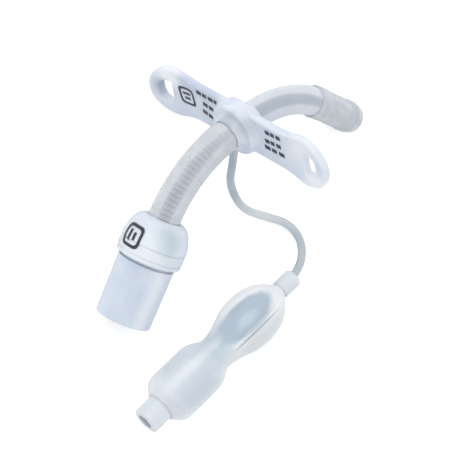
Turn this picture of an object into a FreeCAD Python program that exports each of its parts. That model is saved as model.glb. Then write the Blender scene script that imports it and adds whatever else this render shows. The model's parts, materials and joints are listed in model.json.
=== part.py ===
import FreeCAD, Part
import math
import os
from FreeCAD import Matrix, Placement, Vector

# Cuffed silicone tracheostomy tube for a child, 5.5 mm bore, with a wire wound extension in front
# of the neck flange, a 15 mm connector, and an inflation line to a pilot balloon with a check valve.
# Sizes are in millimetres.
#
# Two frames are used. The tube, flange and connector are drawn in the tube's own frame: +X to the
# wing on the patient's left, +Y from the connector through the flange to the patient, +Z up the neck.
# They are then laid down as they rest on a table, on the connector's rim, the tube's tip and the
# end of one wing: +Z up, the flange's long axis along +X when seen from above, and the origin in
# the middle of their footprint on the table. The pilot balloon and its line lie on the same table
# and are drawn there directly.

# Running clearance between pieces that are bonded or pushed together
FIT = 0.02

# Tube: bore, wall and centre line
BORE_R = 2.75
TUBE_R = 4.0
HUB_STRAIGHT_BACK = 3.0
SHAFT_BEND_R = 30.5
SHAFT_BEND_DEG = 50.5
SHAFT_TIP_STRAIGHT = 16.1
HUB_STRAIGHT_FRONT = 3.85
EXTENSION_BEND_R = 36.4
EXTENSION_BEND_DEG = 46.1
TIP_ROUND = 0.6
TIP_BORE_ROUND = 0.3

# Wire winding on the extension, each turn a low rib in its silicone coat
WINDING_START = 5.7
WINDING_PITCH = 0.65
WINDING_CREST_R = 4.42
WINDING_VALLEY_R = 4.22
WINDING_INTO_BOOT = 2.0

# Cuff, drawn down tight on the shaft, with a thicker bond at each end
CUFF_START = 26.5
CUFF_TIP_GAP = 2.2
CUFF_WALL = 0.25
CUFF_BOND_WALL = 0.42
CUFF_BOND_FRONT = 4.2
CUFF_BOND_BACK = 3.0

# Neck flange
WING_LENGTH = 32.7
WING_THICK = 2.4
WAIST_HALF = 6.5
END_R = 8.1
END_NECK_R = 20.0
HUB_R = 7.8
HUB_NECK_R = 3.0
HUB_FRONT = 3.2
HUB_BACK = 1.9
EDGE_ROUND = 0.9
WING_BEND_START = 17.9
WING_BEND_R = 37.0
COLLAR_R = 5.4
COLLAR_END_R = 4.4
COLLAR_LENGTH = 4.2
FAIRING_R = 6.5
FAIRING_END_R = 4.6
FAIRING_LENGTH = 5.3
EYELET_WIDTH = 4.4
EYELET_HEIGHT = 7.4
EYELET_OUTER_ROUND = 2.64
EYELET_INNER_ROUND = 0.8
EYELET_FROM_END = 5.7

# Socket in the flange's lower rim where the inflation line comes out
LINE_PORT_X = -2.2
LINE_PORT_Y = 1.2
LINE_PORT_TILT_DEG = 22.0
LINE_PORT_R = 1.9
LINE_PORT_FROM = 4.6
LINE_PORT_TO = 8.6
LINE_PORT_ROUND = 0.4
LINE_SOCKET_DEPTH = 2.5

# Connector, a 15 mm male cone with a 1 in 40 taper, and the silicone boot on its base
CONE_END_R = 7.5
CONE_LENGTH = 16.5
CONE_TAPER = 1.0 / 40.0
CONE_BORE_R = 6.2
CONE_BORE_DEPTH = 13.0
FUNNEL_LENGTH = 6.5
CONNECTOR_NECK_R = 6.9
CONNECTOR_NECK_LENGTH = 1.4
DISC_R = 7.9
DISC_LENGTH = 3.6
SOCKET_R = 5.6
SOCKET_START = 2.8
SOCKET_LENGTH = 4.6
BOOT_LENGTH = 11.6
BOOT_MOUTH_WALL = 0.5
BOOT_SHOULDER = ((0.75, 6.5), (2.3, 7.75), (4.7, 8.6))
BOOT_MAX_R = 8.95
BOOT_RIM_R = 8.75
BOOT_RIM_CHAMFER = 0.5
BOOT_GROOVE = 0.45
BOOT_GROOVE_WIDTH = 0.7
BOOT_GROOVES_AT = (7.4, 10.4)

# Inflation line, and where the pilot assembly lies on the table: its front end, with its axis
# running from there towards -Y, and the heights of the line's end and of the valve
LINE_R = 1.1
PILOT_X = 39.4
PILOT_Y = 1.35
LINE_END_Z = 4.6
VALVE_Z = 7.23

# The line's route on the table, from the bottom of the flange's socket to its end in the
# balloon's neck
LINE_POINTS = (
    (2.10, 9.62, 18.85),
    (6.07, 6.06, 14.45),
    (9.5, 3.2, 8.9),
    (16.7, 2.6, 4.4),
    (22.6, 7.2, 1.2),
    (28.4, 10.6, 2.0),
    (35.0, 9.1, 2.9),
    (39.4, 2.35, 4.6),
    (39.4, -3.65, 4.6),
)

# Sleeve bonded over the line and the balloon's front neck. From here on, a START or an END is a
# distance from the pilot assembly's front end
SLEEVE_R = 2.6
SLEEVE_START_R = 2.1
SLEEVE_START = 1.0
SLEEVE_FULL = 1.7
SLEEVE_END = 6.6
FRONT_NECK_R = 1.95
FRONT_NECK_START = 3.0

# Pilot balloon: for each station its distance, half width, half height, the height of its middle
# above the table, and the depth of the dimple pressed in its top
BALLOON_STATIONS = (
    (7.0, 2.5, 2.4, 4.6, 0.0),
    (9.5, 4.7, 3.4, 4.9, 0.0),
    (13.0, 6.7, 4.8, 5.4, 0.8),
    (18.0, 7.6, 5.8, 5.95, 1.7),
    (23.0, 7.2, 5.9, 6.1, 1.4),
    (28.0, 5.6, 5.3, 6.7, 0.4),
    (32.3, 4.8, 4.8, 7.23, 0.0),
)
BALLOON_WALL = 0.6
DIMPLE_SPREAD = 0.45
SECTION_POINTS = 16

# Valve holder, moulded in one with the balloon: its outline as distances and radii
HOLDER_OUTLINE = (
    (31.7, 4.95),
    (33.4, 4.95),
    (35.4, 6.2),
    (37.8, 7.2),
    (50.0, 7.2),
    (51.2, 6.6),
    (52.2, 5.6),
    (53.2, 4.6),
)
HOLDER_DUCT_R = 3.9

# Check valve: body with a wide female luer port, retainer, spring, and a stem with a rubber seal
VALVE_BODY_R = 5.0
VALVE_BODY_START = 38.5
VALVE_BODY_END = 51.9
PORT_R = 3.8
PORT_ROUND = 0.35
PORT_END = 59.0
LUER_MOUTH_R = 2.15
LUER_TAPER = 0.03
LUER_DEPTH = 7.5
SEAT_THICK = 0.8
SEAT_HOLE_R = 1.5
CHAMBER_R = 3.2
RETAINER_THICK = 2.4
VENT_R = 0.55
VENT_PLACE_R = 2.15
VENTS = 4
SEAL_R = 2.4
SEAL_THICK = 1.0
STEM_NECK_R = 1.0
STEM_TIP_R = 1.42
STEM_TIP_LENGTH = 4.2
STEM_RIB = 0.7
HEAD_R = 2.7
HEAD_THICK = 0.9
GUIDE_R = 0.8
GUIDE_CLEARANCE = 0.08
GUIDE_IN_RETAINER = 0.8
SPRING_R = 1.4
SPRING_WIRE = 0.34
SPRING_TURNS = 5


class CentreLine:
    """The tube's curved axis. Stations run from the flange: + to the tip, - to the connector."""

    def __init__(self):
        self.back_bend = math.radians(SHAFT_BEND_DEG)
        self.front_bend = math.radians(EXTENSION_BEND_DEG)
        self.back_arc_end = HUB_STRAIGHT_BACK + SHAFT_BEND_R * self.back_bend
        self.front_arc_end = HUB_STRAIGHT_FRONT + EXTENSION_BEND_R * self.front_bend
        self.tip = self.back_arc_end + SHAFT_TIP_STRAIGHT
        self.breaks = (-self.front_arc_end, -HUB_STRAIGHT_FRONT, HUB_STRAIGHT_BACK, self.back_arc_end)

    def at(self, station):
        """Point on the axis, and the direction away from the flange."""
        side = 1.0 if station >= 0 else -1.0
        straight, radius, bend = (
            (HUB_STRAIGHT_BACK, SHAFT_BEND_R, self.back_bend)
            if side > 0
            else (HUB_STRAIGHT_FRONT, EXTENSION_BEND_R, self.front_bend)
        )
        run = abs(station)
        if run <= straight:
            return Vector(0, side * run, 0), Vector(0, side, 0)
        turn = min((run - straight) / radius, bend)
        point = Vector(0, side * (straight + radius * math.sin(turn)), -radius * (1 - math.cos(turn)))
        ahead = Vector(0, side * math.cos(turn), -math.sin(turn))
        beyond = run - straight - radius * turn
        return point + ahead * beyond, ahead

    def wire(self, start, end):
        """The axis from one station to another, as lines and arcs."""
        stops = [start] + [b for b in self.breaks if start + 1e-6 < b < end - 1e-6] + [end]
        edges = []
        for first, last in zip(stops[:-1], stops[1:]):
            a, b, middle = self.at(first)[0], self.at(last)[0], self.at((first + last) / 2)[0]
            bulge = middle.distanceToLine(a, b - a)
            edge = Part.Arc(a, middle, b) if bulge > 1e-6 else Part.LineSegment(a, b)
            edges.append(edge.toShape())
        return Part.Wire(edges)

    def tube(self, start, end, outer, inner=0.0):
        """A sleeve round the axis between two stations."""
        point, ahead = self.at(start)
        direction = ahead if start >= 0 else ahead.negative()
        path = self.wire(start, end)
        rod = path.makePipe(Part.Face(circle(point, direction, outer)))
        if inner > 0:
            rod = rod.cut(path.makePipe(Part.Face(circle(point, direction, inner))))
        return rod


def circle(centre, direction, radius):
    return Part.Wire(Part.Circle(centre, direction, radius).toShape())


def turned(profile, base, axis):
    """A solid of revolution. The profile is a list of (distance along the axis, radius)."""
    points = [Vector(r, 0, t) for t, r in profile]
    face = Part.Face(Part.makePolygon(points + points[:1]))
    solid = face.revolve(Vector(0, 0, 0), Vector(0, 0, 1), 360)
    solid = Part.Solid(solid.Shells[0]) if solid.ShapeType != "Solid" else solid
    rotation = FreeCAD.Rotation(Vector(0, 0, 1), axis)
    solid.Placement = Placement(base, rotation)
    return solid


def rounded(shape, radius, wanted):
    """The shape with a fillet on each edge that is wanted."""
    edges = [e for e in shape.Edges if wanted(e)]
    return shape.makeFillet(radius, edges) if edges else shape


def shaft_tube(line):
    """The silicone tube from the connector's socket to the tip, with its tip rounded."""
    start = -(line.front_arc_end + SOCKET_START + SOCKET_LENGTH - FIT)
    tube = line.tube(start, line.tip, TUBE_R, BORE_R)
    tip, ahead = line.at(line.tip)

    def at_tip(edge, radius):
        curve = edge.Curve
        return (
            isinstance(curve, Part.Circle)
            and abs(curve.Radius - radius) < 1e-6
            and curve.Center.distanceToPoint(tip) < 1e-4
        )

    tube = rounded(tube, TIP_ROUND, lambda e: at_tip(e, TUBE_R))
    return rounded(tube, TIP_BORE_ROUND, lambda e: at_tip(e, BORE_R))


def wire_winding(line):
    """The winding on the extension: a rib for each turn of the wire, closed by flat ends."""
    length = line.front_arc_end + WINDING_INTO_BOOT - WINDING_START
    turns = int(length / WINDING_PITCH)
    rings = []
    for index in range(2 * turns + 1):
        station = -(WINDING_START + index * WINDING_PITCH / 2)
        radius = WINDING_CREST_R if index % 2 else WINDING_VALLEY_R
        point, ahead = line.at(station)
        rings.append(circle(point, ahead, radius))
    ribs = Part.makeLoft(rings, True, True)
    end = WINDING_START + turns * WINDING_PITCH
    return ribs.cut(line.tube(-(end + WINDING_PITCH), -(WINDING_START - WINDING_PITCH), TUBE_R + FIT))


def cuff(line):
    """The deflated cuff: a thin sleeve with a bond band at each end."""
    end = line.tip - CUFF_TIP_GAP
    inner = TUBE_R + FIT
    sleeve = line.tube(CUFF_START, end, inner + CUFF_WALL, inner)
    front = line.tube(CUFF_START, CUFF_START + CUFF_BOND_FRONT, inner + CUFF_BOND_WALL, inner)
    back = line.tube(end - CUFF_BOND_BACK, end, inner + CUFF_BOND_WALL, inner)
    return sleeve.fuse([front, back]).removeSplitter()


def arc_between(start, centre, end):
    """The shorter arc of a circle from start to end, in the XZ plane."""
    radius = (start - centre).Length
    middle = (start - centre) + (end - centre)
    middle.normalize()
    return Part.Arc(start, centre + middle * radius, end)


def flange_outline():
    """Half heights along the flange: round hub, straight waist and a round end on each wing."""
    hub_dx = math.sqrt((HUB_R + HUB_NECK_R) ** 2 - (WAIST_HALF + HUB_NECK_R) ** 2)
    end_x = WING_LENGTH - END_R
    end_dx = math.sqrt((END_R + END_NECK_R) ** 2 - (WAIST_HALF + END_NECK_R) ** 2)
    edges = []
    for sx in (1, -1):
        for sz in (1, -1):

            def spot(x, z):
                return Vector(sx * x, 0, sz * z)

            hub = Vector(0, 0, 0)
            hub_neck = spot(hub_dx, WAIST_HALF + HUB_NECK_R)
            hub_touch = hub + (hub_neck - hub) * (HUB_R / (HUB_R + HUB_NECK_R))
            waist_start = spot(hub_dx, WAIST_HALF)
            waist_end = spot(end_x - end_dx, WAIST_HALF)
            end_neck = spot(end_x - end_dx, WAIST_HALF + END_NECK_R)
            end = spot(end_x, 0)
            end_touch = end + (end_neck - end) * (END_R / (END_R + END_NECK_R))
            edges.append(arc_between(spot(0, HUB_R), hub, hub_touch))
            edges.append(arc_between(hub_touch, hub_neck, waist_start))
            edges.append(Part.LineSegment(waist_start, waist_end))
            edges.append(arc_between(waist_end, end_neck, end_touch))
            edges.append(arc_between(end_touch, end, spot(WING_LENGTH, 0)))
    return Part.Wire(Part.__sortEdges__([e.toShape() for e in edges]))


def wing_slab():
    """The flange's thickness seen from above: flat, but the lower wing bends forward to its end."""
    half = WING_THICK / 2
    reach = WING_LENGTH + WING_THICK
    bend = (reach - WING_BEND_START) / WING_BEND_R
    centre = Vector(-WING_BEND_START, -WING_BEND_R, 0)

    def bent(radius, angle):
        return centre + Vector(-radius * math.sin(angle), radius * math.cos(angle), 0)

    outer, inner = WING_BEND_R + half, WING_BEND_R - half
    edges = [
        Part.LineSegment(Vector(reach, half, 0), bent(outer, 0)),
        Part.Arc(bent(outer, 0), bent(outer, bend / 2), bent(outer, bend)),
        Part.LineSegment(bent(outer, bend), bent(inner, bend)),
        Part.Arc(bent(inner, bend), bent(inner, bend / 2), bent(inner, 0)),
        Part.LineSegment(bent(inner, 0), Vector(reach, -half, 0)),
        Part.LineSegment(Vector(reach, -half, 0), Vector(reach, half, 0)),
    ]
    face = Part.Face(Part.Wire([e.toShape() for e in edges]))
    face.translate(Vector(0, 0, -3 * END_R))
    return face.extrude(Vector(0, 0, 6 * END_R))


def eyelet(side):
    """A slot for the neck tape: straight towards the hub, round towards the wing's end."""
    middle = WING_LENGTH - EYELET_FROM_END
    inner_x, outer_x = middle - EYELET_WIDTH / 2, middle + EYELET_WIDTH / 2
    half = EYELET_HEIGHT / 2
    depth = WING_BEND_R
    block = Part.makeBox(EYELET_WIDTH, depth, EYELET_HEIGHT, Vector(inner_x, -depth / 2, -half))

    def corner(edge, x):
        return edge.BoundBox.YLength > depth / 2 and abs(edge.Vertexes[0].X - x) < FIT

    block = rounded(block, EYELET_OUTER_ROUND, lambda e: corner(e, outer_x))
    block = rounded(block, EYELET_INNER_ROUND, lambda e: corner(e, inner_x))
    if side < 0:
        block = block.mirror(Vector(0, 0, 0), Vector(1, 0, 0))
    return block


def line_port_axis():
    """Where the inflation line leaves the hub's rim, and its direction."""
    tilt = math.radians(LINE_PORT_TILT_DEG)
    return Vector(LINE_PORT_X, LINE_PORT_Y, 0), Vector(0, -math.sin(tilt), -math.cos(tilt))


def neck_flange(line):
    """The soft flange: wings, round hub, fairing in front, collar behind and the line's socket."""
    outline = Part.Face(flange_outline())
    outline.translate(Vector(0, -WING_BEND_R, 0))
    wings = outline.extrude(Vector(0, 2 * WING_BEND_R, 0)).common(wing_slab())
    wings = rounded(wings, EDGE_ROUND, runs_round_plate)
    hub = Part.makeCylinder(HUB_R, HUB_FRONT + HUB_BACK, Vector(0, -HUB_FRONT, 0), Vector(0, 1, 0))
    hub = hub.makeFillet(EDGE_ROUND, [e for e in hub.Edges if isinstance(e.Curve, Part.Circle)])
    fairing = Part.makeCone(FAIRING_R, FAIRING_END_R, FAIRING_LENGTH, Vector(0, 0, 0), Vector(0, -1, 0))
    collar = Part.makeCone(COLLAR_R, COLLAR_END_R, COLLAR_LENGTH, Vector(0, 0, 0), Vector(0, 1, 0))
    base, ahead = line_port_axis()
    root = base + ahead * LINE_PORT_FROM
    length = LINE_PORT_TO - LINE_PORT_FROM
    port = Part.makeCylinder(LINE_PORT_R, length, root, ahead)

    def at_mouth(edge):
        return edge.Vertexes[0].Point.distanceToPlane(root, ahead) > length - FIT

    port = rounded(port, LINE_PORT_ROUND, at_mouth)
    body = wings.fuse([hub, fairing, collar, port]).removeSplitter()
    socket = Part.makeCylinder(
        LINE_R + FIT, LINE_SOCKET_DEPTH, base + ahead * (LINE_PORT_TO - LINE_SOCKET_DEPTH), ahead
    )
    bore = line.tube(-(FAIRING_LENGTH + BORE_R), COLLAR_LENGTH + BORE_R, TUBE_R + FIT)
    return body.cut([socket, bore, eyelet(1), eyelet(-1)])


def runs_round_plate(edge):
    """True for the edges round the flange's front and back faces, not the short ones through it."""
    return edge.BoundBox.XLength > FIT and edge.BoundBox.YLength < WING_THICK * 2


def connector(line):
    """The rigid connector: socket for the tube, disc under the boot, short neck and the 15 mm cone."""
    base, ahead = line.at(-line.front_arc_end)
    disc_at = SOCKET_START + SOCKET_LENGTH
    neck_at = disc_at + DISC_LENGTH
    cone_at = neck_at + CONNECTOR_NECK_LENGTH
    end = cone_at + CONE_LENGTH
    cone_base_r = CONE_END_R + CONE_LENGTH * CONE_TAPER / 2
    funnel_end = end - CONE_BORE_DEPTH
    outer = [
        (SOCKET_START, SOCKET_R),
        (disc_at, SOCKET_R),
        (disc_at, DISC_R),
        (neck_at, DISC_R),
        (neck_at, CONNECTOR_NECK_R),
        (cone_at, CONNECTOR_NECK_R),
        (cone_at, cone_base_r),
        (end, CONE_END_R),
    ]
    inner = [
        (end, CONE_BORE_R),
        (funnel_end, CONE_BORE_R),
        (funnel_end - FUNNEL_LENGTH, BORE_R),
        (disc_at, BORE_R),
        (disc_at, TUBE_R + FIT),
        (SOCKET_START, TUBE_R + FIT),
    ]
    return turned(outer + inner, base, ahead)


def connector_boot(line):
    """The silicone boot: a domed shoulder from the winding to a rim, with two grooves round it."""
    base, ahead = line.at(-line.front_arc_end)
    disc_at = SOCKET_START + SOCKET_LENGTH
    mouth_r = WINDING_CREST_R + BOOT_MOUTH_WALL
    lip_r = BOOT_MAX_R - FIT
    half = BOOT_GROOVE_WIDTH / 2
    dome_end = BOOT_GROOVES_AT[0] - half
    stops = [(0, mouth_r), *BOOT_SHOULDER, (dome_end, BOOT_MAX_R)]
    shoulder = Part.BSplineCurve()
    shoulder.interpolate([Vector(r, 0, t) for t, r in stops])
    points = [(dome_end, BOOT_MAX_R)]
    for at in BOOT_GROOVES_AT:
        points += [(at - half, lip_r), (at, BOOT_MAX_R - BOOT_GROOVE), (at + half, lip_r)]
    points += [
        (BOOT_LENGTH - BOOT_RIM_CHAMFER, BOOT_RIM_R),
        (BOOT_LENGTH, BOOT_RIM_R - BOOT_RIM_CHAMFER),
        (BOOT_LENGTH, DISC_R + FIT),
        (disc_at - FIT, DISC_R + FIT),
        (disc_at - FIT, SOCKET_R + FIT),
        (SOCKET_START - FIT, SOCKET_R + FIT),
        (SOCKET_START - FIT, WINDING_CREST_R + FIT),
        (0, WINDING_CREST_R + FIT),
        (0, mouth_r),
    ]
    corners = [Vector(r, 0, t) for t, r in points]
    edges = [shoulder.toShape(), Part.makePolygon(corners)]
    face = Part.Face(Part.Wire([edges[0]] + edges[1].Edges))
    boot = face.revolve(Vector(0, 0, 0), Vector(0, 0, 1), 360)
    boot.Placement = Placement(base, FreeCAD.Rotation(Vector(0, 0, 1), ahead))
    return boot


def lowest(shape, up):
    """The shape's lowest point for a given up direction."""
    points = shape.tessellate(0.02, False)[0]
    return min(points, key=lambda p: p.dot(up))


def resting_placement(shapes):
    """Lays the part down on the connector's rim, the tube's tip and the bent wing's end."""
    up = Vector(0.65, -0.11, 0.75).normalize()
    flange = shapes["neck_flange"]
    for _ in range(12):
        rim = lowest(shapes["connector_15mm"], up)
        tip = lowest(shapes["shaft_tube"], up)
        wing = lowest(flange, up)
        up = (rim - wing).cross(tip - wing).normalize()
        if up.z < 0:
            up = up.negative()
    along = Vector(1, 0, 0)
    along = (along - up * along.dot(up)).normalize()
    across = up.cross(along)
    turn = Matrix(
        along.x, along.y, along.z, 0,
        across.x, across.y, across.z, 0,
        up.x, up.y, up.z, 0,
        0, 0, 0, 1,
    )
    print("up", up, "rim", rim, "tip", tip, "wing", wing)
    whole = Part.makeCompound([s.copy() for s in shapes.values()])
    whole.transformShape(turn)
    box = whole.optimalBoundingBox(False, False)
    middle = Vector((box.XMin + box.XMax) / 2, (box.YMin + box.YMax) / 2, box.ZMin)
    print("box", box, "hub centre", middle.negative())
    turn.move(middle.negative())
    return turn


def along_pilot(distance, height=VALVE_Z):
    """A point on the pilot assembly's axis, at a distance from its front end."""
    return Vector(PILOT_X, PILOT_Y - distance, height)


TO_PORT = Vector(0, -1, 0)


def pilot_turned(profile, height=VALVE_Z):
    """A solid of revolution on the pilot assembly's axis, from (distance, radius) pairs."""
    return turned(profile, along_pilot(0, height), TO_PORT)


def pilot_rod(start, end, radius, height=VALVE_Z):
    """A plain cylinder on the pilot assembly's axis."""
    return Part.makeCylinder(radius, end - start, along_pilot(start, height), TO_PORT)


def inflation_line():
    """The line: straight runs joined by arcs as large as the runs allow."""
    points = [Vector(*p) for p in LINE_POINTS]
    edges = []
    reached = points[0]
    radii = []
    length = 0.0
    for before, corner, after in zip(points[:-2], points[1:-1], points[2:]):
        back, ahead = before - corner, after - corner
        half_turn = (math.pi - back.getAngle(ahead)) / 2
        cut = 0.45 * min(back.Length, ahead.Length)
        radius = cut / math.tan(half_turn)
        back.normalize()
        ahead.normalize()
        start, end = corner + back * cut, corner + ahead * cut
        inward = (back + ahead).normalize()
        middle = corner + inward * (radius / math.cos(half_turn) - radius)
        edges.append(Part.LineSegment(reached, start).toShape())
        edges.append(Part.Arc(start, middle, end).toShape())
        length += (start - reached).Length + 2 * half_turn * radius
        radii.append(radius)
        reached = end
    edges.append(Part.LineSegment(reached, points[-1]).toShape())
    length += (points[-1] - reached).Length
    path = Part.Wire(edges)
    tube = path.makePipe(Part.Face(circle(points[0], points[1] - points[0], LINE_R)))
    print("line radii", [round(r, 1) for r in radii], "length", round(length, 2))
    print("line volume", round(tube.Volume, 3), "section x length", round(math.pi * LINE_R**2 * length, 3))
    return tube


def line_collar():
    """The sleeve that bonds the line into the balloon's front neck."""
    return pilot_turned(
        [
            (SLEEVE_START, LINE_R + FIT),
            (SLEEVE_START, SLEEVE_START_R),
            (SLEEVE_FULL, SLEEVE_R),
            (SLEEVE_END, SLEEVE_R),
            (SLEEVE_END, FRONT_NECK_R + FIT),
            (FRONT_NECK_START - FIT, FRONT_NECK_R + FIT),
            (FRONT_NECK_START - FIT, LINE_R + FIT),
        ],
        LINE_END_Z,
    )


def balloon_section(station, wall):
    """A closed curve across the balloon: an ellipse with a dimple pressed in its top."""
    distance, half_width, half_height, height, dimple = station
    centre = along_pilot(distance, height)
    points = []
    for index in range(SECTION_POINTS):
        turn = 2 * math.pi * index / SECTION_POINTS
        x = (half_width - wall) * math.cos(turn)
        z = (half_height - wall) * math.sin(turn)
        if z > 0:
            z -= dimple * math.exp(-((x / (DIMPLE_SPREAD * half_width)) ** 2))
        points.append(centre + Vector(x, 0, z))
    curve = Part.BSplineCurve()
    curve.interpolate(Points=points, PeriodicFlag=True)
    return Part.Wire(curve.toShape())


def balloon_loft(wall):
    return Part.makeLoft([balloon_section(s, wall) for s in BALLOON_STATIONS], True, False)


def pilot_balloon():
    """Balloon, front neck and valve holder, blown and moulded as one hollow piece."""
    first = BALLOON_STATIONS[0][0]
    neck = pilot_rod(FRONT_NECK_START, first + LINE_R, FRONT_NECK_R, LINE_END_Z)
    neck_bore = pilot_rod(FRONT_NECK_START - LINE_R, first + 1.5 * LINE_R, LINE_R + FIT, LINE_END_Z)
    start, end = HOLDER_OUTLINE[0][0], HOLDER_OUTLINE[-1][0]
    holder = pilot_turned([(start, 0), *HOLDER_OUTLINE, (end, 0)])
    pocket_start, pocket_end = start - BALLOON_WALL, end + BALLOON_WALL
    pocket = pilot_turned(
        [
            (pocket_start, 0),
            (pocket_start, HOLDER_DUCT_R),
            (VALVE_BODY_START - FIT, HOLDER_DUCT_R),
            (VALVE_BODY_START - FIT, VALVE_BODY_R + FIT),
            (VALVE_BODY_END + FIT, VALVE_BODY_R + FIT),
            (VALVE_BODY_END + FIT, PORT_R + FIT),
            (pocket_end, PORT_R + FIT),
            (pocket_end, 0),
        ]
    )
    solid = balloon_loft(0).fuse([neck, holder])
    hollow = balloon_loft(BALLOON_WALL)
    return solid.cut([hollow, pocket, neck_bore])


def luer_bottom():
    return PORT_END - LUER_DEPTH


def seat_inner():
    return luer_bottom() - SEAT_THICK


def retainer_outer():
    return VALVE_BODY_START + RETAINER_THICK


def valve_housing():
    """The rigid valve body: spring chamber, seat and a wide round luer port."""
    body = pilot_turned(
        [
            (VALVE_BODY_START, CHAMBER_R),
            (VALVE_BODY_START, VALVE_BODY_R),
            (VALVE_BODY_END, VALVE_BODY_R),
            (VALVE_BODY_END, PORT_R),
            (PORT_END - PORT_ROUND, PORT_R),
            (PORT_END, PORT_R - PORT_ROUND),
            (PORT_END, LUER_MOUTH_R),
            (luer_bottom(), LUER_MOUTH_R - LUER_TAPER * LUER_DEPTH),
            (luer_bottom(), SEAT_HOLE_R),
            (seat_inner(), SEAT_HOLE_R),
            (seat_inner(), CHAMBER_R),
        ]
    )
    return body


def head_inner():
    return seat_inner() - FIT - SEAL_THICK - FIT - HEAD_THICK


def valve_stem():
    """The stem: cross-shaped tip in the port, neck for the seal, head and guide pin."""
    neck_start = head_inner() + HEAD_THICK
    tip_start = seat_inner() + FIT
    guide_start = retainer_outer() - GUIDE_IN_RETAINER
    core = pilot_turned(
        [
            (guide_start, 0),
            (guide_start, GUIDE_R),
            (head_inner(), GUIDE_R),
            (head_inner(), HEAD_R),
            (neck_start, HEAD_R),
            (neck_start, STEM_NECK_R),
            (tip_start, STEM_NECK_R),
            (tip_start, 0),
        ]
    )
    tip_end = tip_start + STEM_TIP_LENGTH
    rib_width, rib_length = 2 * STEM_TIP_R, STEM_TIP_LENGTH
    corner = along_pilot(tip_end)
    flat = Part.makeBox(rib_width, rib_length, STEM_RIB, corner - Vector(rib_width / 2, 0, STEM_RIB / 2))
    upright = Part.makeBox(STEM_RIB, rib_length, rib_width, corner - Vector(STEM_RIB / 2, 0, rib_width / 2))
    cross = pilot_rod(tip_start, tip_end, STEM_TIP_R).common(flat.fuse(upright))
    return core.fuse(cross).removeSplitter()


def valve_seal():
    """The rubber ring that closes the seat from inside."""
    outer = seat_inner() - FIT
    inner = outer - SEAL_THICK
    hole = STEM_NECK_R + FIT
    return pilot_turned([(inner, hole), (inner, SEAL_R), (outer, SEAL_R), (outer, hole)])


def valve_retainer():
    """The plug that holds the spring, with a guide hole and vents."""
    start, end = VALVE_BODY_START, retainer_outer()
    plug = pilot_rod(start, end, CHAMBER_R - FIT)
    holes = [pilot_rod(start, end, GUIDE_R + GUIDE_CLEARANCE)]
    for index in range(VENTS):
        turn = 2 * math.pi * (index + 0.5) / VENTS
        vent = pilot_rod(start, end, VENT_R)
        vent.translate(Vector(math.cos(turn), 0, math.sin(turn)) * VENT_PLACE_R)
        holes.append(vent)
    return plug.cut(holes)


def valve_spring():
    """The closing spring between the retainer and the stem's head, wound from square wire."""
    half = SPRING_WIRE / 2
    start, end = retainer_outer() + FIT + half, head_inner() - FIT - half
    pitch = (end - start) / SPRING_TURNS
    helix = Part.makeLongHelix(pitch, end - start, SPRING_R)
    corners = [
        Vector(SPRING_R - half, 0, -half),
        Vector(SPRING_R + half, 0, -half),
        Vector(SPRING_R + half, 0, half),
        Vector(SPRING_R - half, 0, half),
    ]
    section = Part.makePolygon(corners + corners[:1])
    wire = Part.Wire(helix.Edges)
    coil = wire.makePipeShell([section], True, True)
    coil.Placement = Placement(along_pilot(start), FreeCAD.Rotation(Vector(0, 0, 1), TO_PORT))
    return coil


def export(name, shape):
    shape.exportStep(f"parts/{name}.step")
    print(f"{name:20s} solids {len(shape.Solids)} valid {shape.isValid()} volume {shape.Volume:9.2f}")


def main():
    os.makedirs("parts", exist_ok=True)
    line = CentreLine()
    shapes = {}
    for name, maker in (
        ("shaft_tube", shaft_tube),
        ("wire_winding", wire_winding),
        ("cuff", cuff),
        ("neck_flange", neck_flange),
        ("connector_15mm", connector),
        ("connector_boot", connector_boot),
    ):
        shapes[name] = maker(line)
    rest = resting_placement(shapes)
    for name, shape in shapes.items():
        shape.transformShape(rest)
        export(name, shape)
    for name, maker in (
        ("inflation_line", inflation_line),
        ("line_collar", line_collar),
        ("pilot_balloon", pilot_balloon),
        ("valve_housing", valve_housing),
        ("valve_stem", valve_stem),
        ("valve_seal", valve_seal),
        ("valve_spring", valve_spring),
        ("valve_retainer", valve_retainer),
    ):
        export(name, maker())


main()
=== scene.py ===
import json
import math

import bmesh
import bpy
from mathutils import Matrix, Vector, noise
from mathutils.kdtree import KDTree

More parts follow.
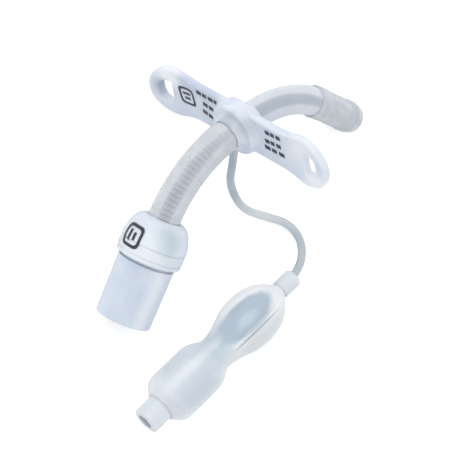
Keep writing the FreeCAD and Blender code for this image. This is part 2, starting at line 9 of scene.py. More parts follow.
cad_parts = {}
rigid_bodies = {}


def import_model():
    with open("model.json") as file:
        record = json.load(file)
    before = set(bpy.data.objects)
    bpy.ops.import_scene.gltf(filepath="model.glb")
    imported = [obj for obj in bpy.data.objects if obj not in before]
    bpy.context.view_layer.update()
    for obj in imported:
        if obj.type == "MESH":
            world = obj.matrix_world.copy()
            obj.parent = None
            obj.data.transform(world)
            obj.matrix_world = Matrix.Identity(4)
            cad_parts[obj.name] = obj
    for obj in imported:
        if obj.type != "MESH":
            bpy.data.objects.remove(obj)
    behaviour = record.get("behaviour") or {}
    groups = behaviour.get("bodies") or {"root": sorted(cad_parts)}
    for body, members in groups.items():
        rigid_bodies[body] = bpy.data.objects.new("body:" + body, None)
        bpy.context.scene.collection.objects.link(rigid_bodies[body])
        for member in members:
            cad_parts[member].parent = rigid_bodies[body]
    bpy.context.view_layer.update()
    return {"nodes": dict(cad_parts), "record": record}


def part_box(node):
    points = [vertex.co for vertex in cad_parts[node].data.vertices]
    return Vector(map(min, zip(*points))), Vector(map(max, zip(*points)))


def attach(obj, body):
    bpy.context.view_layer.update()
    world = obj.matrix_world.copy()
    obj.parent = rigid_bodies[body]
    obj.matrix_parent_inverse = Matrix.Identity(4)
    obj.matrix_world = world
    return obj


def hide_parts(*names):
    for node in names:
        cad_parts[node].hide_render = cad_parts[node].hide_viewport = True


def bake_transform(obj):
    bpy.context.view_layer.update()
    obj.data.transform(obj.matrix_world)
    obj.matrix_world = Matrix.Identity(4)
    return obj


# Looks of the tracheostomy tube. Sizes are written in millimetres and turned to metres when a mesh
# is made. The tube's own frame has +X to the patient's left wing, +Y from the connector through the
# flange to the patient and +Z up the neck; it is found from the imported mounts.

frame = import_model()
MM = 0.001
MOUNTS = {m["name"]: m for m in frame["record"]["mounts"]}

# Tube's centre line
HUB_STRAIGHT_BACK = 3.0
SHAFT_BEND_R = 30.5
SHAFT_BEND = math.radians(50.5)
SHAFT_TIP_STRAIGHT = 16.1
HUB_STRAIGHT_FRONT = 3.85
EXTENSION_BEND_R = 36.4
EXTENSION_BEND = math.radians(46.1)
TIP = HUB_STRAIGHT_BACK + SHAFT_BEND_R * SHAFT_BEND + SHAFT_TIP_STRAIGHT
BOOT_AT = HUB_STRAIGHT_FRONT + EXTENSION_BEND_R * EXTENSION_BEND

# Radii and stations shared by several pieces
BORE_R = 2.75
TUBE_R = 4.0
SOCKET_START = 2.8
SOCKET_END = 7.4
EYELET_AT = 27.0

# Pilot assembly: its front end on the table, with its axis running from there towards -Y
PILOT_X = 39.4
PILOT_Y = 1.35
LINE_END_Z = 4.6
VALVE_Z = 7.23

# The inflation line's route, from the bottom of the flange's socket into the balloon's neck
LINE_R = 1.1
LINE_POINTS = (
    (2.10, 9.62, 18.85),
    (6.07, 6.06, 14.45),
    (9.5, 3.2, 8.9),
    (16.7, 2.6, 4.4),
    (22.6, 7.2, 1.2),
    (28.4, 10.6, 2.0),
    (35.0, 9.1, 2.9),
    (39.4, 2.35, 4.6),
    (39.4, -3.65, 4.6),
)

# Camera of the photograph
CAMERA_PLACE = Vector((3.81, -224.31, 663.29)) * MM
CAMERA_FORWARD = Vector((0.01854, 0.31718, -0.94818))
CAMERA_UP = Vector((-0.72872, 0.65360, 0.20439))
CAMERA_LENS = 208.3


def tube_frame():
    """The tube's frame in the row: where its hub is and its three directions."""
    y = -Vector(MOUNTS["tape_eyelet_raised"]["axis"]).normalized()
    cone = Vector(MOUNTS["circuit_cone"]["axis"])
    x = -y.cross(cone).normalized()
    hub = Vector(MOUNTS["tape_eyelet_raised"]["pos_m"]) - x * (EYELET_AT * MM)
    return hub, x, y, x.cross(y)


HUB, ACROSS, INWARD, UPWARD = tube_frame()


def in_row(point):
    """A point of the tube's frame, in the row's."""
    return HUB + (ACROSS * point[0] + INWARD * point[1] + UPWARD * point[2]) * MM


def centre_line(station):
    """Point on the tube's axis and the direction of rising station: + to the tip, - to the connector."""
    side = 1.0 if station >= 0 else -1.0
    if side > 0:
        straight, radius, bend = HUB_STRAIGHT_BACK, SHAFT_BEND_R, SHAFT_BEND
    else:
        straight, radius, bend = HUB_STRAIGHT_FRONT, EXTENSION_BEND_R, EXTENSION_BEND
    run = abs(station)
    turn = min(max((run - straight) / radius, 0.0), bend)
    beyond = max(run - straight - radius * turn, 0.0)
    y = min(run, straight) + radius * math.sin(turn) + beyond * math.cos(turn)
    z = -radius * (1 - math.cos(turn)) - beyond * math.sin(turn)
    ahead = Vector((0, math.cos(turn), -side * math.sin(turn)))
    return Vector((0, side * y, z)), ahead


def tube_place(station, turn, radius):
    """A point at a radius round the tube's axis; turn 0 is at the left wing's side, a quarter is up."""
    centre, ahead = centre_line(station)
    side = Vector((1, 0, 0))
    top = side.cross(ahead)
    return in_row(centre + (side * math.cos(turn) + top * math.sin(turn)) * radius)


def boot_place(distance, turn, radius):
    """The same, at a distance from the boot's small end towards the connector's rim."""
    return tube_place(-(BOOT_AT + distance), turn, radius)


def pilot_place(distance, turn, radius, height=VALVE_Z):
    """A point at a radius round the pilot assembly's axis, at a distance from its front end."""
    x = PILOT_X + radius * math.cos(turn)
    z = height + radius * math.sin(turn)
    return Vector((x, PILOT_Y - distance, z)) * MM


def smooth_path(points, step=0.8, soften=0.3):
    """Rounds the corners of a closed (distance, radius) path and divides its long runs."""
    path = []
    count = len(points)
    for index in range(count):
        before = Vector(points[index - 1])
        corner = Vector(points[index])
        after = Vector(points[(index + 1) % count])
        back, ahead = before - corner, after - corner
        cut = min(soften, 0.45 * back.length, 0.45 * ahead.length)
        start = corner + back.normalized() * cut
        end = corner + ahead.normalized() * cut
        if path:
            run = start - path[-1]
            pieces = int(run.length / step)
            path += [path[-1].lerp(start, (i + 1) / (pieces + 1)) for i in range(pieces)]
        for i in range(4):
            t = i / 3
            path.append(start * (1 - t) ** 2 + corner * 2 * t * (1 - t) + end * t**2)
    run = path[0] - path[-1]
    pieces = int(run.length / step)
    path += [path[-1].lerp(path[0], (i + 1) / (pieces + 1)) for i in range(pieces)]
    return path


def skin(name, rings, closed=True, sharp=50):
    """A mesh over rings of points, each ring closed, and the last joined to the first if closed."""
    sides = len(rings[0])
    points = [p for ring in rings for p in ring]
    faces = []
    last = len(rings) if closed else len(rings) - 1
    for row in range(last):
        ahead = (row + 1) % len(rings)
        for col in range(sides):
            beside = (col + 1) % sides
            faces.append(
                (row * sides + col, row * sides + beside, ahead * sides + beside, ahead * sides + col)
            )
    if not closed:
        faces.append(tuple(range(sides))[::-1])
        faces.append(tuple(range((len(rings) - 1) * sides, len(rings) * sides)))
    return finish_mesh(name, points, faces, sharp)


def finish_mesh(name, points, faces, sharp=50):
    """An object of a mesh, with its faces turned outwards and shaded smooth up to an angle."""
    mesh = bpy.data.meshes.new(name)
    mesh.from_pydata([tuple(p) for p in points], [], faces)
    made = bmesh.new()
    made.from_mesh(mesh)
    bmesh.ops.recalc_face_normals(made, faces=made.faces)
    made.to_mesh(mesh)
    made.free()
    mesh.polygons.foreach_set("use_smooth", [True] * len(mesh.polygons))
    mesh.set_sharp_from_angle(angle=math.radians(sharp))
    piece = bpy.data.objects.new(name, mesh)
    bpy.context.scene.collection.objects.link(piece)
    return piece


def lathe(name, place, path, sides=72, step=0.8, soften=0.3):
    """A solid of revolution round an axis from a closed (distance, radius) path."""
    rings = []
    for distance, radius in smooth_path(path, step, soften):
        rings.append([place(distance, 2 * math.pi * i / sides, radius) for i in range(sides)])
    return skin(name, rings)


def dress(piece, material, slot, *nodes, body="root"):
    """Material and body of a piece, and the CAD nodes that it stands for; the slot is not used."""
    piece.data.materials.clear()
    piece.data.materials.append(material)
    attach(piece, body)
    if nodes:
        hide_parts(*nodes)
    return piece


class Shader:
    """A material of one Principled shader, with helpers for its nodes."""

    def __init__(self, name):
        self.material = bpy.data.materials.new(name)
        self.material.use_nodes = True
        self.tree = self.material.node_tree
        self.tree.nodes.clear()
        self.out = self.tree.nodes.new("ShaderNodeOutputMaterial")
        self.base = self.tree.nodes.new("ShaderNodeBsdfPrincipled")
        self.tree.links.new(self.base.outputs["BSDF"], self.out.inputs["Surface"])
        self.place = self.tree.nodes.new("ShaderNodeTexCoord").outputs["Object"]

    def set(self, **values):
        """Sets plain values on the shader's own sockets."""
        for key, value in values.items():
            self.base.inputs[key.replace("_", " ")].default_value = value
        return self

    def node(self, kind, **links):
        """A new node, with its sockets set or linked by name."""
        made = self.tree.nodes.new(kind)
        for key, value in links.items():
            socket = made.inputs[key.replace("_", " ")]
            if isinstance(value, bpy.types.NodeSocket):
                self.tree.links.new(value, socket)
            else:
                socket.default_value = value
        return made

    def grain(self, scale, detail=3.0, rough=0.55):
        """Noise over the object, by how many features there are to a metre."""
        return self.node(
            "ShaderNodeTexNoise", Vector=self.place, Scale=scale, Detail=detail, Roughness=rough
        ).outputs["Fac"]

    def span(self, value, low, high, from_low=0.3, from_high=0.7):
        """A value moved from one range to another."""
        made = self.node("ShaderNodeMapRange", Value=value)
        made.inputs["From Min"].default_value = from_low
        made.inputs["From Max"].default_value = from_high
        made.inputs["To Min"].default_value = low
        made.inputs["To Max"].default_value = high
        return made.outputs["Result"]

    def tone(self, factor, dark, light):
        """A colour between two, by a factor, into the base colour."""
        mix = self.tree.nodes.new("ShaderNodeMix")
        mix.data_type = "RGBA"
        self.tree.links.new(factor, mix.inputs["Factor"])
        mix.inputs["A"].default_value = (*dark, 1)
        mix.inputs["B"].default_value = (*light, 1)
        self.tree.links.new(mix.outputs["Result"], self.base.inputs["Base Color"])
        return self

    def link(self, value, socket):
        """Links a value to one of the shader's sockets."""
        self.tree.links.new(value, self.base.inputs[socket])
        return self

    def colour(self):
        """The socket that feeds the base colour so far."""
        return self.base.inputs["Base Color"].links[0].from_socket

    def blend(self, mode, factor, other):
        """Blends another colour over the base colour so far."""
        mix = self.tree.nodes.new("ShaderNodeMix")
        mix.data_type = "RGBA"
        mix.blend_type = mode
        if isinstance(factor, bpy.types.NodeSocket):
            self.tree.links.new(factor, mix.inputs["Factor"])
        else:
            mix.inputs["Factor"].default_value = factor
        self.tree.links.new(self.colour(), mix.inputs["A"])
        if isinstance(other, bpy.types.NodeSocket):
            self.tree.links.new(other, mix.inputs["B"])
        else:
            mix.inputs["B"].default_value = (*other, 1)
        self.tree.links.new(mix.outputs["Result"], self.base.inputs["Base Color"])
        return self

    def painted_view_shade(self, stops, normal=None, factor=1.0):
        """Painted shade by the view: darker where the wall is seen square on, as the shaded hollow behind
        it, and darker at its rim.
        """
        weight = self.node("ShaderNodeLayerWeight", Blend=0.5)
        if normal is not None:
            self.tree.links.new(normal, weight.inputs["Normal"])
        ramp = self.tree.nodes.new("ShaderNodeValToRGB")
        ramp.color_ramp.interpolation = "EASE"
        while len(ramp.color_ramp.elements) < len(stops):
            ramp.color_ramp.elements.new(0.5)
        for element, (at, tint) in zip(ramp.color_ramp.elements, stops):
            element.position = at
            element.color = (*tint, 1)
        self.tree.links.new(weight.outputs["Facing"], ramp.inputs["Fac"])
        return self.blend("MULTIPLY", factor, ramp.outputs["Color"])

    def radial(self):
        """Each point's direction away from the tube's axis, as mark_radial stores it."""
        made = self.node("ShaderNodeAttribute")
        made.attribute_name = "radial"
        return made.outputs["Vector"]

    def vector(self, operation, first, second=None):
        """One step of vector arithmetic."""
        made = self.node("ShaderNodeVectorMath")
        made.operation = operation
        for socket, value in zip(made.inputs, (first, second)):
            if isinstance(value, bpy.types.NodeSocket):
                self.tree.links.new(value, socket)
            elif value is not None:
                socket.default_value = value
        return made.outputs["Value" if operation == "LENGTH" else "Vector"]

    def light_and_tint_patch(self, far, tint, soft, ragged):
        """Another tone where a distance is below 1, with a soft and ragged edge: painted light and shade in
        most places, the thing's own tint in a few.
        """
        rough = self.node("ShaderNodeMath")
        rough.operation = "MULTIPLY_ADD"
        self.tree.links.new(self.grain(500.0, 2.0), rough.inputs[0])
        rough.inputs[1].default_value = ragged
        self.tree.links.new(far, rough.inputs[2])
        edge = 1.0 + ragged / 2
        return self.blend("MIX", self.span(rough.outputs["Value"], 1.0, 0.0, edge - soft, edge + soft), tint)

    def spot(self, centre, radii, tint, soft=0.25, ragged=0.25):
        """A soft oval patch of another tone round a place."""
        away = self.vector("SUBTRACT", self.place, centre)
        scaled = self.vector("DIVIDE", away, [r * MM for r in radii])
        return self.light_and_tint_patch(self.vector("LENGTH", scaled), tint, soft, ragged)

    def strip(self, start, end, width, tint, soft=0.4, ragged=0.3):
        """A soft streak of another tone along a straight line."""
        along = (end - start).normalized()
        away = self.vector("SUBTRACT", self.place, start)
        across = self.vector("CROSS_PRODUCT", away, along)
        scaled = self.vector("DIVIDE", across, [width * MM] * 3)
        return self.light_and_tint_patch(self.vector("LENGTH", scaled), tint, soft, ragged)

    def bump(self, height, strength):
        """Fine relief on the surface."""
        made = self.node("ShaderNodeBump", Height=height, Strength=strength, Distance=0.0001)
        self.tree.links.new(made.outputs["Normal"], self.base.inputs["Normal"])
        return self


# Painted shade by how the wall is turned to the eye, from square on (0) to edge on (1)
WINDING_VIEW_SHADE = (
    (0.0, (0.69, 0.71, 0.74)),
    (0.03, (0.75, 0.77, 0.80)),
    (0.14, (0.98, 0.98, 0.98)),
    (0.6, (0.96, 0.96, 0.96)),
    (1.0, (0.78, 0.79, 0.80)),
)
WIRE_DASH_SHADE = ((0.0, (0.80, 0.80, 0.82)), (0.05, (0.86, 0.86, 0.88)), (0.13, (1, 1, 1)))
TUBE_VIEW_SHADE = (
    (0.0, (0.64, 0.67, 0.70)),
    (0.05, (0.68, 0.71, 0.74)),
    (0.16, (1, 1, 1)),
    (0.55, (1, 1, 1)),
    (1.0, (0.66, 0.67, 0.70)),
)
CUFF_VIEW_SHADE = (
    (0.0, (0.90, 0.91, 0.93)),
    (0.12, (1, 1, 1)),
    (0.4, (1, 1, 1)),
    (0.7, (0.86, 0.87, 0.88)),
    (1.0, (0.66, 0.66, 0.68)),
)
CONE_VIEW_SHADE = (
    (0.0, (0.90, 0.91, 0.93)),
    (0.12, (0.93, 0.94, 0.95)),
    (0.35, (1, 1, 1)),
    (0.62, (1, 1, 1)),
    (1.0, (0.60, 0.60, 0.62)),
)
RIM_VIEW_SHADE = ((0.0, (1, 1, 1)), (0.55, (1, 1, 1)), (1.0, (0.70, 0.70, 0.72)))
FLANGE_VIEW_SHADE = (
    (0.0, (0.97, 0.97, 0.97)),
    (0.3, (1, 1, 1)),
    (0.5, (0.88, 0.91, 0.95)),
    (0.63, (0.88, 0.91, 0.95)),
    (0.76, (1, 1, 1)),
    (0.88, (0.95, 0.95, 0.96)),
    (1.0, (0.60, 0.60, 0.62)),
)


def silicone(name, dark, light, clear, rough, cloud=220.0, soft=0.3, painted_view_shade=RIM_VIEW_SHADE):
    """Cloudy translucent silicone: colour and clearness vary a little from place to place."""
    made = Shader(name)
    made.tone(made.span(made.grain(cloud), 0.0, 1.0), dark, light)
    made.set(IOR=1.41, Subsurface_Weight=soft, Subsurface_Scale=0.0015)
    made.base.inputs["Subsurface Radius"].default_value = (1.0, 1.0, 1.0)
    made.link(made.span(made.grain(cloud * 1.7), clear * 0.8, clear * 1.2), "Transmission Weight")
    made.link(made.span(made.grain(900.0), rough - 0.05, rough + 0.08), "Roughness")
    made.bump(made.grain(2600.0, 4.0), 0.12)
    # painted shade at the rims, by how the wall is turned to the eye
    if painted_view_shade:
        made.painted_view_shade(painted_view_shade)
    return made


def plastic(name, dark, light, clear, rough, painted_view_shade=RIM_VIEW_SHADE):
    """Clear to frosted moulded plastic, with faint flow lines."""
    made = Shader(name)
    made.tone(made.span(made.grain(160.0), 0.0, 1.0), dark, light)
    made.set(IOR=1.49, Subsurface_Weight=0.2, Subsurface_Scale=0.001)
    made.link(made.span(made.grain(240.0), clear * 0.8, clear * 1.2), "Transmission Weight")
    made.link(made.span(made.grain(1200.0), rough - 0.04, rough + 0.06), "Roughness")
    made.bump(made.grain(1800.0, 3.0), 0.06)
    # painted shade at the rims, by how the wall is turned to the eye
    made.painted_view_shade(painted_view_shade)
    return made


def metal(name, colour, rough):
    """Bare metal, a little duller from place to place."""
    made = Shader(name)
    shade = [c * 0.75 for c in colour]
    made.tone(made.span(made.grain(1500.0), 0.0, 1.0), shade, colour)
    made.set(Metallic=1.0)
    made.link(made.span(made.grain(3000.0), rough - 0.05, rough + 0.1), "Roughness")
    made.bump(made.grain(5000.0), 0.05)
    return made.material


def ink(name):
    """Printed black, a little worn where the print is thin."""
    made = Shader(name)
    wear = made.span(made.grain(1800.0, 5.0), 0.0, 1.0, 0.35, 0.75)
    made.tone(wear, (0.015, 0.018, 0.03), (0.05, 0.055, 0.075))
    made.link(made.span(made.grain(2500.0), 0.45, 0.65), "Roughness")
    made.bump(made.grain(3500.0), 0.1)
    return made.material


def tube_look():
    """The tube, with painted shade where the hollow shows through its wall and at its rims, and painted
    shade in the open tip.
    """
    made = silicone("tube_silicone", (0.66, 0.70, 0.76), (0.74, 0.77, 0.82), 0.12, 0.36, painted_view_shade=None)
    # painted shade of the hollow seen through the wall, and at the rims
    made.painted_view_shade(TUBE_VIEW_SHADE, made.radial())
    # painted shade inside the open tip
    made.spot(tube_place(TIP, 0.0, 0.0), (3.7, 3.7, 3.7), (0.42, 0.45, 0.50), 0.25)
    return made.material


def flange_look():
    """The flange, with painted shade where the tube's hollow shows through the moulded fairing round it, and
    painted light and shade on the wings and in the left eyelet.
    """
    # painted shade at the rims and a bluer painted tint by how the face is turned to the eye
    made = silicone("flange_silicone", (0.72, 0.76, 0.83), (0.78, 0.82, 0.88), 0.08, 0.38, painted_view_shade=FLANGE_VIEW_SHADE)
    # painted shade of the tube's hollow seen through the fairing
    made.spot(in_row((0, -5.0, 3.5)), (2.1, 5.6, 4.0), (0.52, 0.57, 0.63), 0.3)
    # painted highlight on the right wing's end
    made.spot(in_row((24.5, -1.0, 4.0)), (3.5, 4.0, 6.0), (0.82, 0.85, 0.89), 0.6)
    # painted shade along the top of the left wing's face
    for across in (-19.0, -15.5, -12.0, -8.5):
        made.spot(in_row((across, -1.3, 5.6)), (2.5, 2.5, 2.5), (0.56, 0.61, 0.72), 0.5)
    # painted light over the left eyelet
    made.spot(in_row((-25.2, -2.0, 5.2)), (3.2, 3.2, 3.2), (0.88, 0.91, 0.93), 0.5)
    # painted highlight on the lower edge of the right wing's end
    made.spot(in_row((29.0, -1.2, -5.5)), (4.5, 4.5, 4.5), (0.88, 0.90, 0.93), 0.6)
    # painted shade beside the hub
    made.spot(in_row((5.0, -2.8, 3.8)), (2.7, 2.7, 2.7), (0.56, 0.61, 0.68), 0.5)
    # painted shadow inside the left eyelet
    made.spot(in_row((-27.6, -2.5, 0.8)), (2.9, 2.9, 2.9), (0.42, 0.47, 0.58), 0.5)
    return made.material


def coat_look():
    """The winding's coat: painted shade falling off round the tube, with a darker dash where each turn of
    wire crosses, partly the wire's own dark and partly painted shade.
    """
    made = silicone("coil_coat", (0.66, 0.69, 0.74), (0.74, 0.76, 0.80), 0.1, 0.38, cloud=300.0, painted_view_shade=None)
    radial = made.radial()
    # painted shade of the hollow seen through the coat, and at its rims
    made.painted_view_shade(WINDING_VIEW_SHADE, radial)
    dash = made.node("ShaderNodeAttribute")
    dash.attribute_name = "dash"
    # darker dash over each turn of wire: the wire's own dark, deepened by painted shade
    made.painted_view_shade(WIRE_DASH_SHADE, radial, dash.outputs["Fac"])
    return made.material


def cuff_look():
    """Thin film over the tube, with painted shade at its rims and towards the open tip."""
    dark, light = (0.55, 0.59, 0.64), (0.68, 0.71, 0.74)
    made = silicone("cuff_silicone", dark, light, 0.12, 0.36, cloud=400.0, painted_view_shade=None)
    # painted shade at the rims by how the film is turned to the eye
    made.painted_view_shade(CUFF_VIEW_SHADE, made.radial())
    # painted shade towards the open tip
    made.spot(tube_place(TIP, 0.0, 0.0), (6.0, 6.0, 6.0), (0.46, 0.49, 0.54), 0.4)
    return made.material


def boot_look():
    """The boot, with painted darker teal shade on one flank and paler beside the printed mark."""
    made = silicone("boot_silicone", (0.67, 0.74, 0.81), (0.74, 0.79, 0.85), 0.08, 0.38)
    # painted darker teal shade on the boot's flank
    made.spot(boot_place(4.0, math.radians(28), 8.2), (3.6, 3.6, 3.6), (0.54, 0.63, 0.68), 0.4)
    made.spot(boot_place(8.6, math.radians(70), 8.9), (5.5, 5.5, 5.5), (0.80, 0.84, 0.90), 0.5)
    return made.material


def line_look():
    """The line's wall: painted shade at its rims, and a painted highlight where it lies flat and catches the
    light from above.
    """
    # painted shade at the rims by how the wall is turned to the eye
    stops = ((0.0, (1, 1, 1)), (0.35, (1, 1, 1)), (0.9, (0.72, 0.74, 0.76)))
    made = silicone("line_silicone", (0.44, 0.50, 0.55), (0.52, 0.58, 0.62), 0.1, 0.36, painted_view_shade=stops)
    # painted highlight where the line lies flat on the table
    made.spot(Vector((20.5, 6.5, 1.5)) * MM, (7.5, 7.5, 6.0), (0.68, 0.73, 0.75), 0.6)
    return made.material


def balloon_look():
    """Thin film: pale margins, painted blue-grey shade and reflection in the dimple where it is drawn in
    over the hollow, clearer over the valve, with painted shade and highlights on its sides, crease and
    holder.
    """
    made = silicone("balloon_film", (0.88, 0.90, 0.92), (0.95, 0.96, 0.96), 0.1, 0.36, cloud=140.0)

    def at(x, distance, height=10.0):
        return Vector((PILOT_X + x, PILOT_Y - distance, height)) * MM

    made.spot(at(0.0, 43.5), (9.0, 11.5, 9.0), (0.68, 0.73, 0.79), 0.3)
    # painted shade on the balloon's steep right side
    made.spot(at(5.2, 20.0), (2.4, 10.0, 7.0), (0.72, 0.76, 0.78), 0.4)
    # painted shade in the narrow neck
    made.spot(at(-1.4, 33.0), (4.4, 6.5, 6.0), (0.56, 0.65, 0.71), 0.5)
    # painted blue-grey shade and reflection in the dimple
    made.spot(at(-1.6, 20.8), (4.1, 10.3, 7.0), (0.47, 0.56, 0.65), 0.12, 0.15)
    # painted highlight inside the dimple
    made.spot(at(-0.7, 20.2), (1.5, 3.6, 5.0), (0.57, 0.66, 0.76), 0.35)
    # painted highlight beside the crease
    made.spot(at(1.9, 21.0), (0.28, 7.4, 5.0), (0.66, 0.75, 0.83), 0.3)
    # painted shade in the crease
    made.spot(at(3.05, 21.0), (0.36, 7.2, 6.0), (0.46, 0.52, 0.57), 0.4)
    # painted shade on the holder's right side
    made.spot(at(2.6, 44.5), (3.0, 7.0, 6.0), (0.57, 0.63, 0.70), 0.6)
    # painted highlight along the holder's upper left
    made.spot(at(-2.3, 42.0), (1.3, 10.0, 6.0), (0.80, 0.83, 0.88), 0.5)
    return made.material


def connector_look():
    """Frosted cone with one painted highlight streak along it, and painted shade at its rims."""
    made = plastic("connector_plastic", (0.62, 0.69, 0.79), (0.71, 0.77, 0.85), 0.08, 0.34, painted_view_shade=CONE_VIEW_SHADE)
    start, end = [boot_place(distance, math.radians(9), 7.6) for distance in (13, 28)]
    # painted highlight streak along the cone's lit wall
    made.strip(start, end, 1.9, (0.76, 0.81, 0.86), 0.7)
    return made.material


def valve_look():
    """Frosted valve body, with painted shade down the port's bore."""
    made = plastic("valve_plastic", (0.70, 0.76, 0.81), (0.78, 0.82, 0.86), 0.12, 0.36)
    mouth = Vector((PILOT_X, PILOT_Y - 55.6, VALVE_Z)) * MM
    # painted shade down the port's bore
    made.spot(mouth, (2.5, 4.2, 2.5), (0.34, 0.38, 0.43), 0.05, 0.0)
    return made.material


TUBE_LOOK = tube_look()
FLANGE_LOOK = flange_look()
COAT_LOOK = coat_look()
CUFF_LOOK = cuff_look()
BOOT_LOOK = boot_look()
LINE_LOOK = line_look()
COLLAR_LOOK = silicone("collar_silicone", (0.68, 0.73, 0.78), (0.76, 0.79, 0.84), 0.1, 0.36).material
BALLOON_LOOK = balloon_look()
CONNECTOR_LOOK = connector_look()
VALVE_LOOK = valve_look()
STEM_LOOK = plastic("stem_plastic", (0.58, 0.64, 0.70), (0.68, 0.74, 0.79), 0.05, 0.38).material
RUBBER_LOOK = silicone("valve_rubber", (0.22, 0.23, 0.25), (0.30, 0.31, 0.33), 0.0, 0.6, soft=0.05).material
STEEL_LOOK = metal("spring_steel", (0.72, 0.73, 0.74), 0.3)
WIRE_LOOK = metal("winding_steel", (0.80, 0.82, 0.85), 0.4)
INK_LOOK = ink("print_ink")


def shaft():
    """The tube, from the connector's socket to its rounded tip."""
    start = -(BOOT_AT + SOCKET_END - 0.02)
    path = [(start, BORE_R), (start, TUBE_R), (TIP, TUBE_R), (TIP, BORE_R)]
    piece = lathe("tube_body", tube_place, path, sides=80, step=0.6, soften=0.6)
    mark_radial(piece)
    return dress(piece, TUBE_LOOK, "tube_silicone", "shaft_tube")


def inner_rings(start, end, radius, sides):
    """Rings of one radius along the tube's axis, for the inside of what is wound or bonded on it."""
    steps = max(2, round(abs(end - start)))
    stations = [start + (end - start) * i / steps for i in range(steps + 1)]
    return [[tube_place(s, 2 * math.pi * i / sides, radius) for i in range(sides)] for s in stations]


AXIS_STEP = 0.5
AXIS_START = -(BOOT_AT + 12.0)


def axis_tree():
    """Stations along the tube's axis, to look up the nearest one from."""
    count = int((TIP - AXIS_START) / AXIS_STEP) + 1
    tree = KDTree(count)
    places = []
    for index in range(count):
        station = index * AXIS_STEP + AXIS_START
        here = tube_place(station, 0.0, 0.0)
        places.append((here, station))
        tree.insert(here, index)
    tree.balance()
    return tree, places


def reach(station):
    """How far the painted shade of the hollow reaches to the sides: further where the shaft bends down
    towards the tip.
    """
    return 1.0 + 0.5 * min(1.0, max(0.0, (station + 2.0) / 27.0))


def mark_radial(piece):
    """Stores each point's direction away from the tube's axis, scaled by the reach of the painted shade of
    the hollow.
    """
    tree, places = axis_tree()
    marks = piece.data.attributes.new("radial", "FLOAT_VECTOR", "POINT")
    values = []
    for vertex in piece.data.vertices:
        index = tree.find(vertex.co)[1]
        here, station = places[index]
        ahead = places[min(index + 1, len(places) - 1)][0] - places[max(index - 1, 0)][0]
        away = vertex.co - here
        away -= ahead * (away.dot(ahead) / ahead.length_squared)
        values.extend(away.normalized() * reach(station))
    marks.data.foreach_set("vector", values)


WINDING_START = 5.7
WINDING_PITCH = 0.65
WINDING_INTO_BOOT = 2.0
WINDING_INNER_R = 4.02
WINDING_VALLEY_R = 4.27
WINDING_CREST_R = 4.42
WIRE_R = 0.13
ROWS_PER_TURN = 8


def mark_dashes(piece, rings):
    """Stores how much wire lies under each ring of the coat."""
    marks = piece.data.attributes.new("dash", "FLOAT", "POINT")
    values = []
    for row, ring in enumerate(rings):
        wave = 0.5 + 0.5 * math.cos(math.pi * row / ROWS_PER_TURN)
        values += [wave**1.5] * len(ring)
    marks.data.foreach_set("value", values)


def winding():
    """The ribbed coat, one rib for each turn, and the steel wire that shows through it."""
    start, end = -WINDING_START, -(BOOT_AT + WINDING_INTO_BOOT)
    sides = 56
    turns = (start - end) / WINDING_PITCH
    count = int(turns * ROWS_PER_TURN)
    depth = WINDING_CREST_R - WINDING_VALLEY_R
    rings = []
    for row in range(count + 1):
        station = start + (end - start) * row / count
        fade = min(1.0, row / ROWS_PER_TURN, (count - row) / ROWS_PER_TURN)
        ring = []
        for col in range(sides):
            part = col / sides
            wave = 0.5 - 0.5 * math.cos(2 * math.pi * (row / ROWS_PER_TURN + part))
            radius = WINDING_VALLEY_R + depth * fade * wave**0.7
            ring.append(tube_place(station, 2 * math.pi * part, radius))
        rings.append(ring)
    rings += inner_rings(end, start, WINDING_INNER_R, sides)
    coat = skin("winding_coat", rings, sharp=70)
    mark_radial(coat)
    mark_dashes(coat, rings)
    dress(coat, COAT_LOOK, "coil_coat", "wire_winding")

    wire_at = WINDING_INNER_R + WIRE_R
    steps = 40
    total = int(turns * steps)
    rings = []
    for index in range(total + 1):
        station = start + (end - start) * index / total
        turn = 2 * math.pi * (0.5 - index / steps)
        ring = []
        for corner in range(6):
            angle = 2 * math.pi * corner / 6
            across = wire_at + WIRE_R * math.cos(angle)
            ring.append(tube_place(station + WIRE_R * math.sin(angle), turn, across))
        rings.append(ring)
    wire = skin("winding_wire", rings, closed=False, sharp=80)
    return dress(wire, WIRE_LOOK, "coil_coat", "wire_winding")


def cuff():
    """The deflated cuff: thin film with fine pleats, between two bond bands."""
    start, end = 26.5, TIP - 2.2
    front_band, back_band = 4.2, 3.0
    inner, film, band = 4.02, 0.25, 0.42
    sides = 96
    rings = []
    rows = 70
    for row in range(rows + 1):
        station = start + (end - start) * row / rows
        into = min(station - start - front_band, end - back_band - station)
        blend = min(1.0, max(0.0, into / 0.5))
        ring = []
        for col in range(sides):
            turn = 2 * math.pi * col / sides
            fold = 0.03 * math.sin(9 * turn + 0.4 * station) + 0.02 * math.sin(23 * turn - 0.9 * station)
            edge = min(1.0, (row + 0.3) / 2, (rows - row + 0.3) / 2)
            thick = band + (film + fold - band) * blend
            ring.append(tube_place(station, turn, inner + thick * edge))
        rings.append(ring)
    rings += inner_rings(end, start, inner, sides)
    piece = skin("cuff_film", rings, sharp=60)
    mark_radial(piece)
    return dress(piece, CUFF_LOOK, "cuff_silicone", "cuff")


def baked(piece):
    """Turns a piece's modifiers into its mesh."""
    bpy.context.view_layer.update()
    shape = piece.evaluated_get(bpy.context.evaluated_depsgraph_get())
    done = bpy.data.meshes.new_from_object(shape)
    piece.modifiers.clear()
    piece.data = done
    return done


# Where the hub's front is smoothed: from and to along the tube's axis, and from and to round it
FAIRING_ALONG = (-6.5, 0.5)
FAIRING_ROUND = (4.35, 8.6)


